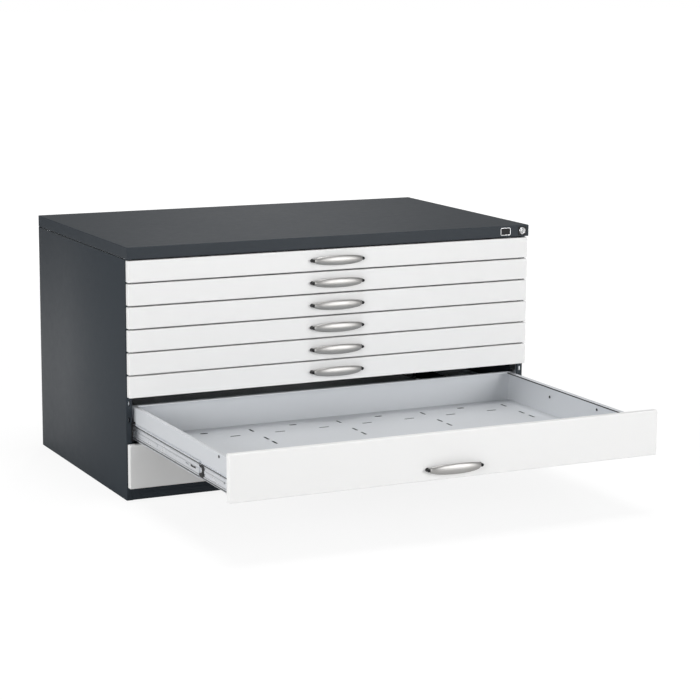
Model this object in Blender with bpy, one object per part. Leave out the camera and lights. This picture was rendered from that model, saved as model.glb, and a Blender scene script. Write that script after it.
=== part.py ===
# Flat file cabinet: a low, wide steel chest with eight drawers on telescopic slides.
# Units are metres, +Z is up and -Y is the front. The origin is on the floor, under the
# middle of the cabinet body. The seventh drawer stands pulled out and the others are shut.

import math

import bmesh
import bpy
from mathutils import Matrix, Vector

# Cabinet body
cabinet_width = 1.350
cabinet_depth = 0.800
base_height = 0.036
cover_height = 0.036
body_sheet = 0.0010
flange_width = 0.020
base_lip = 0.018
seat_gap = 0.0003
cut_overrun = 0.004

# Drawer fronts, from the top down, counted in shallow drawers
drawer_units = (1, 1, 1, 1, 1, 1, 2, 2)
open_drawer = 7
drawer_pitch = 0.0685
travel_reserve = 0.050
front_gap = 0.003
front_margin = 0.003
front_depth = 0.020
front_clearance = 0.002
front_sheet = 0.0010
front_lip = 0.014

# Drawer trays
tray_sheet = 0.0007
tray_lip = 0.012
tray_lift = 0.012
tray_drop = 0.003
deep_tray_drop = 0.030
tray_rear_clearance = 0.015

# Telescopic slides, from the side panel inwards
slide_height = 0.050
slide_steel = 0.0012
slide_play = 0.0006
slide_lift = 0.009
slide_wall_clearance = 0.002
drawer_member_thickness = 0.0055
outer_member_length = 0.760
middle_member_length = 0.700
drawer_member_length = 0.700
middle_member_setback = 0.0075
drawer_member_setback = 0.004
middle_member_follow_share = 0.74
flange_clearance = 0.0015
post_sheet = 0.0015
post_width = 0.040

# Bow handle
handle_length = 0.172
handle_rise = 0.028
handle_height = 0.032
handle_foot_height = 0.009
handle_thickness = 0.0065
handle_stations = 18
handle_section_points = 8
handle_bow_exponent = 0.55
handle_swell_exponent = 1.3

# Cylinder lock and the bar that it lifts
lock_inset = 0.024
lock_drop = 0.018
lock_rim_diameter = 0.022
lock_rim_height = 0.002
lock_sleeve_diameter = 0.0165
lock_barrel_diameter = 0.012
lock_barrel_proud = 0.0008
lock_sleeve_length = 0.016
lock_fit = 0.0003
lock_round_points = 24
cam_throw = 0.0095
cam_rest_degrees = -45.0
cam_thickness = 0.003
cam_edge = 0.0045
cam_pin_diameter = 0.004
cam_pin_points = 12
bar_thickness = 0.002
bar_width = 0.012
bar_inset = 0.0025
bar_notch_depth = 0.004
bar_notch_height = 0.022
bar_floor_clearance = 0.004
bar_head = 0.006
fork_play = 0.0006

# Worked out from the sizes above
half_width = cabinet_width / 2
drawer_travel = cabinet_depth - travel_reserve
front_plane = -cabinet_depth / 2
back_plane = cabinet_depth / 2
stack_bottom = base_height + front_gap / 2
stack_top = stack_bottom + drawer_pitch * sum(drawer_units)
cover_bottom = stack_top + front_gap / 2
cabinet_height = cover_bottom + cover_height
panel_top = cover_bottom - seat_gap
cover_front = front_plane - front_clearance - front_depth

middle_outer_face = half_width - flange_width - flange_clearance
middle_inner_face = middle_outer_face - slide_steel
tray_half_width = middle_inner_face - slide_play - drawer_member_thickness
outer_member_inner_face = middle_outer_face + slide_play
outer_member_back = outer_member_inner_face + slide_steel
lip_reach = tray_half_width + slide_wall_clearance
slide_centre = slide_lift + slide_height / 2
middle_member_height = slide_height - 2 * (slide_steel + slide_play)
drawer_member_height = middle_member_height - 2 * (slide_steel + slide_play)

tray_front = -front_clearance + seat_gap
tray_rear = cabinet_depth - tray_rear_clearance
bar_front = body_sheet + slide_play
rack_front = bar_front + bar_thickness + slide_play
rack_outer = half_width - body_sheet - seat_gap

lock_x = half_width - lock_inset
lock_z = cover_bottom + lock_drop


# Materials


def make_material(name, colour, roughness, metallic):
    material = bpy.data.materials.new(name)
    material.use_nodes = True
    shader = material.node_tree.nodes["Principled BSDF"]
    shader.inputs["Base Color"].default_value = (*colour, 1.0)
    shader.inputs["Roughness"].default_value = roughness
    shader.inputs["Metallic"].default_value = metallic
    return material


def make_materials():
    return {
        "body": make_material("dark_slate_enamel", (0.050, 0.058, 0.068), 0.42, 0.0),
        "front": make_material("white_enamel", (0.86, 0.86, 0.85), 0.35, 0.0),
        "tray": make_material("light_grey_enamel", (0.62, 0.64, 0.66), 0.40, 0.0),
        "slide": make_material("zinc_plated_steel", (0.66, 0.68, 0.70), 0.32, 1.0),
        "handle": make_material("satin_nickel", (0.60, 0.59, 0.57), 0.30, 1.0),
        "lock": make_material("bright_chrome", (0.78, 0.78, 0.78), 0.18, 1.0),
    }


# Modelling helpers


def to_object(name, mesh, material=None, parent=None, location=(0.0, 0.0, 0.0)):
    item = bpy.data.objects.new(name, mesh)
    bpy.context.scene.collection.objects.link(item)
    if material is not None:
        mesh.materials.clear()
        mesh.materials.append(material)
    item.parent = parent
    item.location = location
    return item


def mesh_from(name, bm):
    mesh = bpy.data.meshes.new(name)
    bm.to_mesh(mesh)
    bm.free()
    return mesh


def box_bmesh(low, high):
    bm = bmesh.new()
    bmesh.ops.create_cube(bm, size=1.0)
    size = Vector(high) - Vector(low)
    middle = (Vector(high) + Vector(low)) / 2
    bmesh.ops.scale(bm, vec=size, verts=bm.verts)
    bmesh.ops.translate(bm, vec=middle, verts=bm.verts)
    return bm


def sheet_pan(name, low, high, open_side, lip, thickness):
    """A folded box without its open side, whose edge turns inwards by the lip."""
    bm = box_bmesh(low, high)
    bm.normal_update()
    mouth = max(bm.faces, key=lambda face: face.normal.dot(Vector(open_side)))
    if lip > 0:
        bmesh.ops.inset_region(bm, faces=[mouth], thickness=lip, use_even_offset=True)
    bmesh.ops.delete(bm, geom=[mouth], context="FACES")
    item = to_object(name, mesh_from(name, bm))
    add_thickness(item, thickness)
    return item


def along(axis, across, start):
    """The point at this place of a cross section, whose plane is square to the axis."""
    if axis == "Y":
        return Vector((across[0], start, across[1]))
    return Vector((across[0], across[1], start))


def sheet_fold(name, outline, axis, start, end, thickness):
    """A strip folded along an outline. Its thickness grows to the left of the outline."""
    bm = bmesh.new()
    corners = [bm.verts.new(along(axis, point, start)) for point in outline]
    edges = [bm.edges.new(pair) for pair in zip(corners, corners[1:])]
    made = bmesh.ops.extrude_edge_only(bm, edges=edges)
    moved = [part for part in made["geom"] if isinstance(part, bmesh.types.BMVert)]
    bmesh.ops.translate(bm, vec=along(axis, (0.0, 0.0), end - start), verts=moved)
    bm.normal_update()
    first = outline[1][0] - outline[0][0], outline[1][1] - outline[0][1]
    right_hand = along(axis, (first[1], -first[0]), 0.0)
    strip = min(bm.faces, key=lambda face: (face.calc_center_median() - corners[0].co).length)
    if strip.normal.dot(right_hand) < 0:
        bmesh.ops.reverse_faces(bm, faces=bm.faces)
    item = to_object(name, mesh_from(name, bm))
    add_thickness(item, thickness)
    return item


def prism(name, outline, axis, start, end):
    """A solid block with this outline, from start to end along the axis."""
    bm = bmesh.new()
    face = bm.faces.new([bm.verts.new(along(axis, point, start)) for point in outline])
    made = bmesh.ops.extrude_face_region(bm, geom=[face])
    moved = [part for part in made["geom"] if isinstance(part, bmesh.types.BMVert)]
    bmesh.ops.translate(bm, vec=along(axis, (0.0, 0.0), end - start), verts=moved)
    bmesh.ops.recalc_face_normals(bm, faces=bm.faces)
    return to_object(name, mesh_from(name, bm))


def round_outline(centre, diameter, points):
    turns = [2 * math.pi * step / points for step in range(points)]
    radius = diameter / 2
    return [(centre[0] + radius * math.cos(t), centre[1] + radius * math.sin(t)) for t in turns]


def add_thickness(item, thickness):
    skin = item.modifiers.new("Sheet", "SOLIDIFY")
    skin.thickness = thickness
    skin.offset = -1.0
    skin.use_even_offset = True


def combine(item, other, operation):
    cut = item.modifiers.new(operation.title(), "BOOLEAN")
    cut.operation = operation
    cut.object = other
    cut.solver = "EXACT"
    other.hide_render = True
    other.display_type = "WIRE"


def finished_mesh(item, helpers=()):
    """The mesh with its modifiers applied. The object and its helpers are cleared away."""
    bpy.context.view_layer.update()
    graph = bpy.context.evaluated_depsgraph_get()
    mesh = bpy.data.meshes.new_from_object(item.evaluated_get(graph))
    mesh.name = item.name
    for spent in (item, *helpers):
        bpy.data.objects.remove(spent)
    return mesh


def mirrored(mesh, name):
    bm = bmesh.new()
    bm.from_mesh(mesh)
    bmesh.ops.transform(bm, matrix=Matrix.Scale(-1, 4, Vector((1, 0, 0))), verts=bm.verts)
    bmesh.ops.reverse_faces(bm, faces=bm.faces)
    return mesh_from(name, bm)


def shade_round(mesh, degrees=40.0):
    mesh.shade_smooth()
    mesh.set_sharp_from_angle(angle=math.radians(degrees))


# Cabinet body


def make_side_panels(material):
    outline = (
        (half_width - flange_width, front_plane),
        (half_width, front_plane),
        (half_width, back_plane),
        (half_width - flange_width, back_plane),
    )
    panel = sheet_fold("side_panel", outline, "Z", 0.0, panel_top, body_sheet)
    mesh = finished_mesh(panel)
    to_object("side_panel_right", mesh, material)
    to_object("side_panel_left", mirrored(mesh, "side_panel_left"), material)


def make_base_pan(material):
    inset = body_sheet + seat_gap
    low = (-half_width + inset, front_plane + inset, 0.0)
    high = (half_width - inset, back_plane - inset, base_height)
    pan = sheet_pan("base_pan", low, high, (0, 0, 1), base_lip, body_sheet)
    pan.data.materials.append(material)


def make_back_panel(material):
    inset = body_sheet + seat_gap
    bm = box_bmesh(
        (-half_width + inset, back_plane - inset - body_sheet, base_height + seat_gap),
        (half_width - inset, back_plane - inset, panel_top),
    )
    to_object("back_panel", mesh_from("back_panel", bm), material)


def make_top_cover(material):
    low = (-half_width, cover_front, cover_bottom)
    high = (half_width, back_plane, cabinet_height)
    cover = sheet_pan("top_cover", low, high, (0, 0, -1), 0.0, body_sheet)
    hole = prism(
        "lock_hole",
        round_outline((lock_x, lock_z), lock_sleeve_diameter + 2 * lock_fit, lock_round_points),
        "Y",
        cover_front - cut_overrun,
        cover_front + cut_overrun,
    )
    combine(cover, hole, "DIFFERENCE")
    to_object("top_cover", finished_mesh(cover, [hole]), material)


def slide_profile(back, height):
    """The C of a slide member, open towards the drawer, with its lips' ends at the reach."""
    low = slide_centre - height / 2
    high = slide_centre + height / 2
    return ((lip_reach, low), (back, low), (back, high), (lip_reach, high))


def drawer_base(number):
    """The height of the bottom of this drawer's bay."""
    return stack_top - drawer_pitch * sum(drawer_units[:number])


def make_slide_racks(material):
    """Each side's two posts with the eight fixed slide members that are welded to them."""
    post_inner = outer_member_back - slide_steel / 2
    posts = []
    for rear_post in (False, True):
        start = rack_front + rear_post * (outer_member_length - post_width)
        outline = (
            (rack_outer, front_plane + start),
            (post_inner, front_plane + start),
            (post_inner, front_plane + start + post_width),
            (rack_outer, front_plane + start + post_width),
        )
        outline = outline[::-1]
        bottom = base_height + seat_gap
        posts.append(sheet_fold("post", outline, "Z", bottom, panel_top, post_sheet))
    rack, *helpers = posts
    for number in range(1, len(drawer_units) + 1):
        outline = slide_profile(outer_member_back, slide_height)
        start = front_plane + rack_front
        end = start + outer_member_length
        member = sheet_fold("outer_member", outline, "Y", start, end, slide_steel)
        member.location.z = drawer_base(number)
        helpers.append(member)
    for helper in helpers:
        combine(rack, helper, "UNION")
    mesh = finished_mesh(rack, helpers)
    to_object("slide_rack_right", mesh, material)
    to_object("slide_rack_left", mirrored(mesh, "slide_rack_left"), material)


# Drawers. Their meshes are drawn with the bay's bottom at z = 0 and the body's front
# plane at y = 0, for a shut drawer.


def make_front_mesh(height):
    rear = -front_clearance
    low = (-half_width + front_margin, rear - front_depth, front_gap / 2)
    high = (half_width - front_margin, rear, height - front_gap / 2)
    return finished_mesh(sheet_pan("drawer_front", low, high, (0, 1, 0), front_lip, front_sheet))


def make_tray_mesh(height, drop):
    low = (-tray_half_width, tray_front, tray_lift)
    high = (tray_half_width, tray_rear, height - front_gap / 2 - drop)
    tray = sheet_pan("drawer_tray", low, high, (0, 0, 1), tray_lip, tray_sheet)
    helpers = []
    for side in (-1, 1):
        inner = side * (tray_half_width - tray_sheet / 2)
        outer = side * (tray_half_width + drawer_member_thickness)
        low_edge = slide_centre - drawer_member_height / 2
        high_edge = slide_centre + drawer_member_height / 2
        outline = ((inner, low_edge), (outer, low_edge), (outer, high_edge), (inner, high_edge))
        outline = outline[::side]
        start = drawer_member_setback
        end = start + drawer_member_length
        member = sheet_fold("drawer_member", outline, "Y", start, end, slide_steel)
        helpers.append(member)
    for helper in helpers:
        combine(tray, helper, "UNION")
    return finished_mesh(tray, helpers)


def make_middle_member_mesh():
    outline = slide_profile(middle_outer_face, middle_member_height)
    end = middle_member_setback + middle_member_length
    member = sheet_fold("middle_member", outline, "Y", middle_member_setback, end, slide_steel)
    return finished_mesh(member)


def bow_point(turn):
    """A point on the bow's centre line, from its left foot (0) to its right one (pi)."""
    reach = (handle_length - handle_thickness) / 2
    rise = (handle_rise - handle_thickness / 2) * math.sin(turn) ** handle_bow_exponent
    return Vector((-reach * math.cos(turn), -rise))


def make_handle_mesh():
    """A bow that is narrow at its feet and swells to a lens shape in the middle."""
    bm = bmesh.new()
    rings = []
    for station in range(handle_stations + 1):
        share = station / handle_stations
        turn = math.pi * share
        half_step = math.pi / handle_stations / 2
        before = bow_point(max(turn - half_step, 0.0))
        after = bow_point(min(turn + half_step, math.pi))
        centre = bow_point(turn)
        if station == 0:
            tangent = Vector((0.0, -1.0))
        elif station == handle_stations:
            tangent = Vector((0.0, 1.0))
        else:
            tangent = (after - before).normalized()
        outward = Vector((tangent.y, -tangent.x))
        swell = math.sin(turn) ** handle_swell_exponent
        half_height = (handle_foot_height + (handle_height - handle_foot_height) * swell) / 2
        ring = []
        for step in range(handle_section_points):
            angle = 2 * math.pi * (step + 0.5) / handle_section_points
            across = outward * (handle_thickness / 2 * math.cos(angle))
            place = centre + across
            ring.append(bm.verts.new((place.x, place.y, half_height * math.sin(angle))))
        rings.append(ring)
    for near, far in zip(rings, rings[1:]):
        for step in range(handle_section_points):
            following = (step + 1) % handle_section_points
            bm.faces.new((near[step], near[following], far[following], far[step]))
    bm.faces.new(rings[0])
    bm.faces.new(rings[-1])
    bmesh.ops.recalc_face_normals(bm, faces=bm.faces)
    mesh = mesh_from("drawer_handle", bm)
    shade_round(mesh)
    return mesh


def make_drawers(materials):
    fronts = {units: make_front_mesh(drawer_pitch * units) for units in set(drawer_units)}
    trays = {}
    for units in set(drawer_units):
        drop = tray_drop if units == 1 else deep_tray_drop
        trays[units] = make_tray_mesh(drawer_pitch * units, drop)
    handle = make_handle_mesh()
    middle_right = make_middle_member_mesh()
    middle_left = mirrored(middle_right, "middle_member_left")
    face = -front_clearance - front_depth - seat_gap
    for number, units in enumerate(drawer_units, 1):
        pulled = drawer_travel if number == open_drawer else 0.0
        base = drawer_base(number)
        drawer = bpy.data.objects.new(f"drawer_{number}", None)
        drawer.location = (0.0, front_plane - pulled, base)
        bpy.context.scene.collection.objects.link(drawer)
        slides = bpy.data.objects.new(f"slides_{number}", None)
        slides.location = (0.0, front_plane - pulled * middle_member_follow_share, base)
        bpy.context.scene.collection.objects.link(slides)
        to_object(f"drawer_front_{number}", fronts[units], materials["front"], drawer)
        to_object(f"drawer_tray_{number}", trays[units], materials["tray"], drawer)
        place = (0.0, face, drawer_pitch / 2)
        to_object(f"drawer_handle_{number}", handle, materials["handle"], drawer, place)
        to_object(f"slide_member_right_{number}", middle_right, materials["slide"], slides)
        to_object(f"slide_member_left_{number}", middle_left, materials["slide"], slides)


# Lock


def cam_pin_place():
    turn = math.radians(cam_rest_degrees)
    return cam_throw * math.cos(turn), cam_throw * math.sin(turn)


def make_lock_housing(material):
    """The fixed rim and sleeve, bored for the barrel. It sits in the cover's front."""
    rim_outline = round_outline((0.0, 0.0), lock_rim_diameter, lock_round_points)
    sleeve_outline = round_outline((0.0, 0.0), lock_sleeve_diameter, lock_round_points)
    bore_diameter = lock_barrel_diameter + 2 * lock_fit
    bore_outline = round_outline((0.0, 0.0), bore_diameter, lock_round_points)
    rim_rear = -seat_gap
    rim_front = rim_rear - lock_rim_height
    rim_middle = (rim_front + rim_rear) / 2
    rim = prism("lock_rim", rim_outline, "Y", rim_front, rim_rear)
    sleeve = prism("lock_sleeve", sleeve_outline, "Y", rim_middle, lock_sleeve_length)
    bore_end = lock_sleeve_length + cut_overrun
    bore = prism("lock_bore", bore_outline, "Y", rim_front - cut_overrun, bore_end)
    combine(rim, sleeve, "UNION")
    combine(rim, bore, "DIFFERENCE")
    mesh = finished_mesh(rim, [sleeve, bore])
    shade_round(mesh)
    to_object("lock_housing", mesh, material, None, (lock_x, cover_front, lock_z))


def make_lock_barrel(material):
    """The barrel that the key turns, with the cam disc and its pin at the rear end."""
    pin_x, pin_z = cam_pin_place()
    front = -lock_rim_height - seat_gap - lock_barrel_proud
    cam_front = lock_sleeve_length + lock_fit
    cam_rear = cam_front + cam_thickness
    barrel_outline = round_outline((0.0, 0.0), lock_barrel_diameter, lock_round_points)
    barrel = prism("barrel", barrel_outline, "Y", front, cam_rear)
    cam_outline = round_outline((0.0, 0.0), 2 * (cam_throw + cam_edge), lock_round_points)
    cam = prism("cam", cam_outline, "Y", cam_front, cam_rear)
    pin_end = -cover_front + front_plane + bar_front + bar_thickness
    pin_outline = round_outline((pin_x, pin_z), cam_pin_diameter, cam_pin_points)
    pin = prism("cam_pin", pin_outline, "Y", cam_rear - cam_thickness / 2, pin_end)
    combine(barrel, cam, "UNION")
    combine(barrel, pin, "UNION")
    mesh = finished_mesh(barrel, [cam, pin])
    shade_round(mesh)
    to_object("lock_barrel", mesh, material, None, (lock_x, cover_front, lock_z))


def make_lock_bar(material):
    """The upright bar beside the drawers, forked at its head round the cam's pin."""
    pin_x, pin_z = cam_pin_place()
    inner = half_width - flange_width + bar_inset
    outer = inner + bar_width
    bottom = base_height + bar_floor_clearance
    fork_middle = lock_z + pin_z
    fork_half = cam_pin_diameter / 2 + fork_play
    fork_end = lock_x + cam_throw + cam_pin_diameter / 2 + fork_play
    top = fork_middle + fork_half + bar_head
    outline = [(outer, bottom), (outer, top), (inner, top)]
    outline += [(inner, fork_middle + fork_half), (fork_end, fork_middle + fork_half)]
    outline += [(fork_end, fork_middle - fork_half), (inner, fork_middle - fork_half)]
    for number in range(1, len(drawer_units) + 1):
        middle = drawer_base(number) + slide_centre
        high = middle + bar_notch_height / 2
        low = middle - bar_notch_height / 2
        notch = inner + bar_notch_depth
        outline += [(inner, high), (notch, high), (notch, low), (inner, low)]
    outline.append((inner, bottom))
    start = front_plane + bar_front
    bar = prism("lock_bar", outline, "Y", start, start + bar_thickness)
    bar.data.materials.append(material)


def build():
    for item in list(bpy.data.objects):
        bpy.data.objects.remove(item)
    materials = make_materials()
    make_side_panels(materials["body"])
    make_base_pan(materials["body"])
    make_back_panel(materials["body"])
    make_top_cover(materials["body"])
    make_slide_racks(materials["slide"])
    make_drawers(materials)
    make_lock_housing(materials["lock"])
    make_lock_barrel(materials["lock"])
    make_lock_bar(materials["slide"])


build()
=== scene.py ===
import math

import bmesh
import bpy
from mathutils import Euler, Matrix, Vector


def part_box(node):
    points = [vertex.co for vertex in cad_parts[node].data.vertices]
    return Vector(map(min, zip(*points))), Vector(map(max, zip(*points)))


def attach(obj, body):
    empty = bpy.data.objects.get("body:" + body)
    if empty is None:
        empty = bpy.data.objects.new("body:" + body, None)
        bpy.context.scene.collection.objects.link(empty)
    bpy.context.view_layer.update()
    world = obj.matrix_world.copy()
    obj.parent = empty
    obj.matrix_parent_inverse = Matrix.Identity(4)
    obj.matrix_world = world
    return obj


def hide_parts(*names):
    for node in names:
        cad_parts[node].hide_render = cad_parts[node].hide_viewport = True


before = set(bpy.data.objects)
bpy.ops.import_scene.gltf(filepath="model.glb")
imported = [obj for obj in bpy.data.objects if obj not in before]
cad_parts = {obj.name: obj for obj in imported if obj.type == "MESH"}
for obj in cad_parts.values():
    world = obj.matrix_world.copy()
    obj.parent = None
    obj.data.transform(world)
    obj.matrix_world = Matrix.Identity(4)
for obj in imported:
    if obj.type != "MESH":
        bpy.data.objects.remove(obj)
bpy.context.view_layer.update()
bpy.ops.object.select_all(action="DESELECT")
print("cabinet loaded:", len(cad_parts), "solids")

cutterDeep = 0.010  # how deep every slot and hole cutter reaches through a sheet
drawerNumbers = range(1, 9)
deepDrawers = (7, 8)


# small steps that every piece uses


def makeActive(piece):
    bpy.ops.object.select_all(action="DESELECT")
    piece.select_set(True)
    bpy.context.view_layer.objects.active = piece


def settle(piece):
    makeActive(piece)
    bpy.ops.object.transform_apply(location=True, rotation=True, scale=True)


def rename(piece, name):
    piece.name = name
    piece.data.name = name
    return piece


def addBox(name, low, high):
    low, high = Vector(low), Vector(high)
    bpy.ops.mesh.primitive_cube_add(size=1, location=(low + high) / 2)
    box = bpy.context.active_object
    box.scale = high - low
    settle(box)
    return rename(box, name)


def addRod(name, place, across, long, axis, corners=32, turn=0.0):
    turns = {"X": (0, math.pi / 2, 0), "Y": (math.pi / 2, 0, 0), "Z": (0, 0, 0)}
    bpy.ops.mesh.primitive_cylinder_add(vertices=corners, radius=across / 2, depth=long)
    rod = bpy.context.active_object
    rod.rotation_euler = (0, 0, turn)
    settle(rod)
    rod.rotation_euler = turns[axis]
    rod.location = place
    settle(rod)
    return rename(rod, name)


def choose(piece, kind, wanted):
    # edit mode with only the wanted corners, edges or faces chosen
    makeActive(piece)
    bpy.ops.object.mode_set(mode="EDIT")
    bpy.ops.mesh.select_mode(type=kind)
    bpy.ops.mesh.select_all(action="DESELECT")
    cage = bmesh.from_edit_mesh(piece.data)
    parts = {"VERT": cage.verts, "EDGE": cage.edges, "FACE": cage.faces}[kind]
    for part in parts:
        if wanted(part):
            part.select_set(True)
    cage.select_flush_mode()
    bmesh.update_edit_mesh(piece.data)


def leaveEdit():
    bpy.ops.object.mode_set(mode="OBJECT")


def applied(piece, kind, **values):
    makeActive(piece)
    modifier = piece.modifiers.new(kind.title(), kind)
    for key, value in values.items():
        setattr(modifier, key, value)
    bpy.ops.object.modifier_apply(modifier=modifier.name)


def softEdges(piece, width, steps=3, degrees=30):
    applied(piece, "BEVEL", width=width, segments=steps, limit_method="ANGLE",
            angle_limit=math.radians(degrees))


def evenShade(piece, degrees=35):
    makeActive(piece)
    bpy.ops.object.shade_smooth_by_angle(angle=math.radians(degrees))
    applied(piece, "WEIGHTED_NORMAL", keep_sharp=True, weight=80)
    return piece


def thicken(piece, sheet):
    applied(piece, "SOLIDIFY", thickness=sheet, offset=-1.0, use_even_offset=True)


def facing(*way):
    return lambda face: face.normal.dot(Vector(way)) > 0.9


def inset(width, each=False):
    bpy.ops.mesh.inset(thickness=width, use_even_offset=True, use_individual=each)


def shiftChosen(*way):
    bpy.ops.transform.translate(value=way)
    leaveEdit()


def openChosen():
    bpy.ops.mesh.delete(type="ONLY_FACE")
    leaveEdit()


def splitFaces(piece, wanted, place, way):
    choose(piece, "FACE", wanted)
    bpy.ops.mesh.bisect(plane_co=place, plane_no=way)
    leaveEdit()


def normalsOut(piece, within=1e-6):
    choose(piece, "FACE", lambda face: True)
    bpy.ops.mesh.remove_doubles(threshold=within)
    bpy.ops.mesh.normals_make_consistent(inside=False)
    leaveEdit()


def cutAway(piece, cutters):
    tool = joined(cutters, piece.name + "Cutter")
    applied(piece, "BOOLEAN", operation="DIFFERENCE", object=tool, solver="EXACT")
    bpy.data.objects.remove(tool)


def addOn(piece, extra):
    applied(piece, "BOOLEAN", operation="UNION", object=extra, solver="EXACT")
    bpy.data.objects.remove(extra)


def joined(pieces, name):
    makeActive(pieces[0])
    for piece in pieces:
        piece.select_set(True)
    if len(pieces) > 1:
        bpy.ops.object.join()
    return rename(bpy.context.active_object, name)


def copied(piece, name, shift=(0, 0, 0)):
    twin = piece.copy()
    twin.data = piece.data.copy()
    bpy.context.scene.collection.objects.link(twin)
    twin.data.transform(Matrix.Translation(Vector(shift)))
    return rename(twin, name)


def mirrored(piece):
    piece.data.transform(Matrix.Scale(-1, 4, (1, 0, 0)))
    piece.data.flip_normals()
    return piece


def foldedPan(name, low, high, openSide, lip, hem, fold, sheet):
    # a box of sheet steel without one side, the edge of which turns in by the lip and then down by the hem
    pan = addBox(name, low, high)
    choose(pan, "FACE", facing(*openSide))
    inset(lip)
    if hem:
        bpy.ops.mesh.extrude_region_move(TRANSFORM_OT_translate={"value": Vector(openSide) * -hem})
    openChosen()
    softEdges(pan, fold, steps=4)
    thicken(pan, sheet)
    return pan


def drawnLine(name, corners):
    # one point drawn out from corner to corner, left in edit mode with all of it chosen
    bpy.ops.mesh.primitive_plane_add(size=1, location=corners[0])
    line = rename(bpy.context.active_object, name)
    settle(line)
    choose(line, "VERT", lambda corner: True)
    bpy.ops.mesh.merge(type="CENTER")
    for here, there in zip(corners, corners[1:]):
        bpy.ops.mesh.extrude_vertices_move(TRANSFORM_OT_translate={"value": there - here})
    bpy.ops.mesh.select_all(action="SELECT")
    return line


def drawnStrip(name, corners, run, fold, sheet, inward):
    # a profile drawn out along the run and given its sheet thickness
    corners = [Vector(corner) for corner in corners]
    strip = drawnLine(name, corners)
    bpy.ops.mesh.extrude_edges_move(TRANSFORM_OT_translate={"value": Vector(run)})
    bpy.ops.mesh.select_all(action="SELECT")
    bpy.ops.mesh.normals_make_consistent(inside=False)
    leaveEdit()
    seat = (corners[0] + corners[1] + Vector(run)) / 2
    first = min(strip.data.polygons, key=lambda face: (face.center - seat).length)
    if first.normal.dot(Vector(inward)) > 0:
        strip.data.flip_normals()
    if fold:
        softEdges(strip, fold, steps=3, degrees=20)
    thicken(strip, sheet)
    return strip


def drawnPlate(name, corners, run, edge):
    # an outline filled and given its thickness
    plate = drawnLine(name, [Vector(corner) for corner in corners])
    bpy.ops.mesh.edge_face_add()
    bpy.ops.mesh.extrude_region_move(TRANSFORM_OT_translate={"value": Vector(run)})
    bpy.ops.mesh.select_all(action="SELECT")
    bpy.ops.mesh.normals_make_consistent(inside=False)
    leaveEdit()
    softEdges(plate, edge, steps=2)
    return plate


def slotCutter(name, place, long, across, axis, along):
    # a round-ended slot: a rod whose two halves are drawn apart
    rod = addRod(name, (0, 0, 0), across, cutterDeep, axis, corners=16, turn=math.pi / 16)
    way = Vector(along)
    reach = way * (long - across) / 2
    for side in (-1, 1):
        choose(rod, "VERT", lambda corner: corner.co.dot(way) * side > 0)
        bpy.ops.transform.translate(value=reach * side)
        leaveEdit()
    rod.data.transform(Matrix.Translation(Vector(place)))
    return rod


def finish(piece, paint, slotName, body, *nodes):
    piece.data.materials.clear()
    piece.data.materials.append(paint)
    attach(piece, body)
    if nodes:
        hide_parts(*nodes)
    return piece


# finishes


def newGroup(name, inputs, outputs):
    group = bpy.data.node_groups.new(name, "ShaderNodeTree")
    kinds = {4: "NodeSocketColor", 3: "NodeSocketVector", 1: "NodeSocketFloat"}
    for label, value in inputs.items():
        size = len(value) if isinstance(value, tuple) else 1
        socket = group.interface.new_socket(name=label, in_out="INPUT", socket_type=kinds[size])
        socket.default_value = value
    for label in outputs:
        kind = kinds[4] if label == "Colour" else kinds[1]
        group.interface.new_socket(name=label, in_out="OUTPUT", socket_type=kind)
    return group, group.nodes.new("NodeGroupInput").outputs, group.nodes.new("NodeGroupOutput").inputs


def addNode(tree, kind, inputs=None, **values):
    node = tree.nodes.new("ShaderNode" + kind)
    for key, value in values.items():
        setattr(node, key, value)
    for key, value in (inputs or {}).items():
        if isinstance(value, bpy.types.NodeSocket):
            tree.links.new(value, node.inputs[key])
        else:
            node.inputs[key].default_value = value
    return node


def mathNode(tree, operation, first, second, clamp=False):
    node = addNode(tree, "Math", {0: first, 1: second}, operation=operation, use_clamp=clamp)
    return node.outputs[0]


def added(tree, first, second, clamp=False):
    return mathNode(tree, "ADD", first, second, clamp)


def times(tree, first, second, clamp=False):
    return mathNode(tree, "MULTIPLY", first, second, clamp)


def swing(tree, noise, amount):
    # noise swings about a half: taken to swing about nothing, by the amount
    return times(tree, mathNode(tree, "SUBTRACT", noise, 0.5), amount)


def mapRange(tree, values):
    return addNode(tree, "MapRange", values).outputs[0]


def mixColour(tree, factor, first, second):
    node = addNode(tree, "Mix", {0: factor, 6: first, 7: second}, data_type="RGBA")
    return node.outputs[2]


def noiseNode(tree, vector, scale, detail, rough):
    values = {"Vector": vector, "Scale": scale, "Detail": detail, "Roughness": rough}
    return addNode(tree, "TexNoise", values).outputs[0]


# each noise: scale, detail and roughness
noises = {
    "slow": (2.3, 3.0, 0.5),
    "middle": (38.0, 3.0, 0.6),
    "fleck": (1900.0, 1.0, 0.5),
    "dustPatch": (5.0, 5.0, 0.6),
    "dustSpeck": (420.0, 2.0, 0.5),
    "line": (1.0, 4.0, 0.65),
    "tintPatch": (26.0, 4.0, 0.6),
}
peelNoise = (2.0, 0.55)  # detail and roughness, at each coat's own scale
middleShare = 0.35  # of the middle noise in the coat's height
dustShape = {"facing": 3.0, "patch": 1.6, "speck": 0.6, "rough": 0.8}
bumpDeep = {"coat": 0.0002, "metal": 0.0001}


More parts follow.
